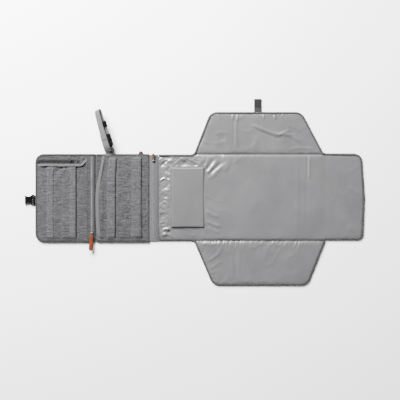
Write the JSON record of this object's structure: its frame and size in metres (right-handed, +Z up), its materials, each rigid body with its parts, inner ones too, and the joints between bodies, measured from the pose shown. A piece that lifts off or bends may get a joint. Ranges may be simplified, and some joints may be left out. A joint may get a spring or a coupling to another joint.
{
  "type": "baby changing pad clutch",
  "caption": "Grey pocket clutch, opened flat, with a wipe-clean padded changing mat zipped to it that has folding wings, a folding foot, a head pillow and a wrist strap.",
  "frame": {"origin": "on the surface it lies on, under the middle of the whole unfolded object", "axes": "+X from the clutch to the foot of the mat, +Y towards the wrist strap, +Z up out of the vinyl face"},
  "size_m": [1.12, 0.616, 0.0367],
  "materials": {
    "heather_fabric": "heathered mid-grey woven polyester",
    "elastic": "light grey gathered elastic binding",
    "binding": "dark grey woven edge binding",
    "backing": "grey woven backing",
    "vinyl": "soft wipe-clean coated cloth, satin silver grey",
    "pillow_cloth": "smooth matte grey cloth",
    "foam": "soft open-cell padding",
    "webbing": "light grey ribbed webbing",
    "zip_tape": "grey knitted zipper tape",
    "zip_coil": "grey nylon coil",
    "black_plastic": "black moulded acetal, satin",
    "nickel": "dull nickel plate",
    "tan_leather": "orange-brown grained leather, stitched",
    "red_leather": "dark red leather",
    "hook_tape": "dark grey hook-and-loop tape"
  },
  "bodies": {
    "clutch_back": {"back_shell": "heather_fabric", "back_stiffener": "foam", "back_lining": "heather_fabric", "back_binding": "binding", "slip_pocket": "heather_fabric", "slip_pocket_elastic": "elastic", "outer_zip_tape": "zip_tape", "outer_zip_coil": "zip_coil", "spine_strip": "heather_fabric", "strap_anchor": "binding", "mat_zip_tape": "zip_tape", "mat_zip_coil": "zip_coil", "plug_webbing": "webbing"},
    "flap": {"flap_shell": "heather_fabric", "flap_stiffener": "foam", "flap_lining": "heather_fabric", "flap_binding": "binding", "flap_pocket": "heather_fabric", "flap_pocket_elastic": "elastic", "flap_zip_tape": "zip_tape", "flap_zip_coil": "zip_coil", "closure_webbing": "webbing"},
    "mat": {"mat_backing": "backing", "mat_foam": "foam", "mat_vinyl": "vinyl", "mat_binding": "binding", "pillow_foam": "foam", "pillow_cover": "pillow_cloth"},
    "wing_top": {"wing_top_backing": "backing", "wing_top_foam": "foam", "wing_top_vinyl": "vinyl", "wing_top_binding": "binding"},
    "wing_bottom": {"wing_bottom_backing": "backing", "wing_bottom_foam": "foam", "wing_bottom_vinyl": "vinyl", "wing_bottom_binding": "binding", "loop_patch": "hook_tape"},
    "foot": {"foot_backing": "backing", "foot_foam": "foam", "foot_vinyl": "vinyl", "foot_binding": "binding"},
    "tab": {"tab_webbing": "webbing", "hook_patch": "hook_tape"},
    "strap": {"strap_webbing": "webbing", "strap_glide": "black_plastic", "strap_buckle_socket": "black_plastic", "strap_buckle_plug": "black_plastic"},
    "arm_low": {"strap_arm_low": "black_plastic"},
    "arm_high": {"strap_arm_high": "black_plastic"},
    "flap_slider": {"flap_zip_slider": "nickel"},
    "flap_pull": {"flap_pull_link": "nickel", "flap_pull_leather": "tan_leather"},
    "mat_slider": {"mat_zip_slider": "nickel"},
    "mat_pull": {"mat_pull_link": "nickel", "mat_pull_leather": "tan_leather"},
    "outer_slider": {"outer_zip_slider": "nickel"},
    "outer_pull": {"outer_pull": "red_leather"},
    "closure_socket": {"closure_buckle_socket": "black_plastic"},
    "closure_plug": {"closure_buckle_plug": "black_plastic"}
  },
  "joints": [
    {"name": "flap_fold", "type": "hinge", "parent": "clutch_back", "child": "flap", "pos_m": [-0.326, -0.019, 0.014], "axis": [0, -1, 0], "range_deg": [-175, 0]},
    {"name": "mat_fold", "type": "hinge", "parent": "clutch_back", "child": "mat", "pos_m": [-0.119, -0.018, 0.0065], "axis": [0, -1, 0], "range_deg": [0, 155]},
    {"name": "wing_top_fold", "type": "hinge", "parent": "mat", "child": "wing_top", "pos_m": [0.212, 0.1243, 0.0054], "axis": [1, 0, 0], "range_deg": [0, 170]},
    {"name": "wing_bottom_fold", "type": "hinge", "parent": "mat", "child": "wing_bottom", "pos_m": [0.212, -0.1603, 0.0054], "axis": [-1, 0, 0], "range_deg": [0, 173]},
    {"name": "foot_fold", "type": "hinge", "parent": "mat", "child": "foot", "pos_m": [0.428, -0.015, 0.0054], "axis": [0, 1, 0], "range_deg": [-174, 0]},
    {"name": "tab_fold", "type": "hinge", "parent": "wing_top", "child": "tab", "pos_m": [0.2075, 0.265, 0.0046], "axis": [-1, 0, 0], "range_deg": [-170, 0]},
    {"name": "strap_swing", "type": "hinge", "parent": "clutch_back", "child": "strap", "pos_m": [-0.28, 0.127, 0.0086], "axis": [1, 0, 0], "range_deg": [-45, 60]},
    {"name": "strap_release", "type": "hinge", "parent": "strap", "child": "arm_low", "pos_m": [-0.29159, 0.16433, 0.00726], "axis": [0.6814, 0.189, -0.7071], "range_deg": [0, 8], "stiffness_Nm_per_rad": 0.02},
    {"name": "strap_release_far", "type": "hinge", "parent": "strap", "child": "arm_high", "pos_m": [-0.27673, 0.16845, 0.02268], "axis": [0.6814, 0.189, -0.7071], "range_deg": [-8, 0], "stiffness_Nm_per_rad": 0.02},
    {"name": "flap_zip", "type": "slide", "parent": "flap", "child": "flap_slider", "axis": [0, 1, 0], "range_m": [0, 0.235]},
    {"name": "flap_pull_swing", "type": "hinge", "parent": "flap_slider", "child": "flap_pull", "pos_m": [-0.3394, -0.134, 0.0122], "axis": [-1, 0, 0], "range_deg": [0, 150]},
    {"name": "mat_zip", "type": "slide", "parent": "clutch_back", "child": "mat_slider", "axis": [0, -1, 0], "range_m": [0, 0.25]},
    {"name": "mat_pull_swing", "type": "hinge", "parent": "mat_slider", "child": "mat_pull", "pos_m": [-0.1365, 0.103, 0.0094], "axis": [-1, 0, 0], "range_deg": [-150, 0]},
    {"name": "outer_zip", "type": "slide", "parent": "clutch_back", "child": "outer_slider", "axis": [0, -1, 0], "range_m": [0, 0.22]},
    {"name": "outer_pull_swing", "type": "hinge", "parent": "outer_slider", "child": "outer_pull", "pos_m": [-0.178, 0.1128, 0.0015], "axis": [-1, 0, 0], "range_deg": [0, 80]},
    {"name": "closure_socket_swing", "type": "hinge", "parent": "flap", "child": "closure_socket", "pos_m": [-0.5308, -0.025, 0.0043], "axis": [0, 1, 0], "range_deg": [-60, 70]},
    {"name": "closure_plug_swing", "type": "hinge", "parent": "clutch_back", "child": "closure_plug", "pos_m": [-0.156, -0.025, 0.0023], "axis": [0, 1, 0], "range_deg": [0, 80]}
  ],
  "couplings": [
    {"joint": "strap_release_far", "follows": "strap_release", "ratio": -1}
  ]
}
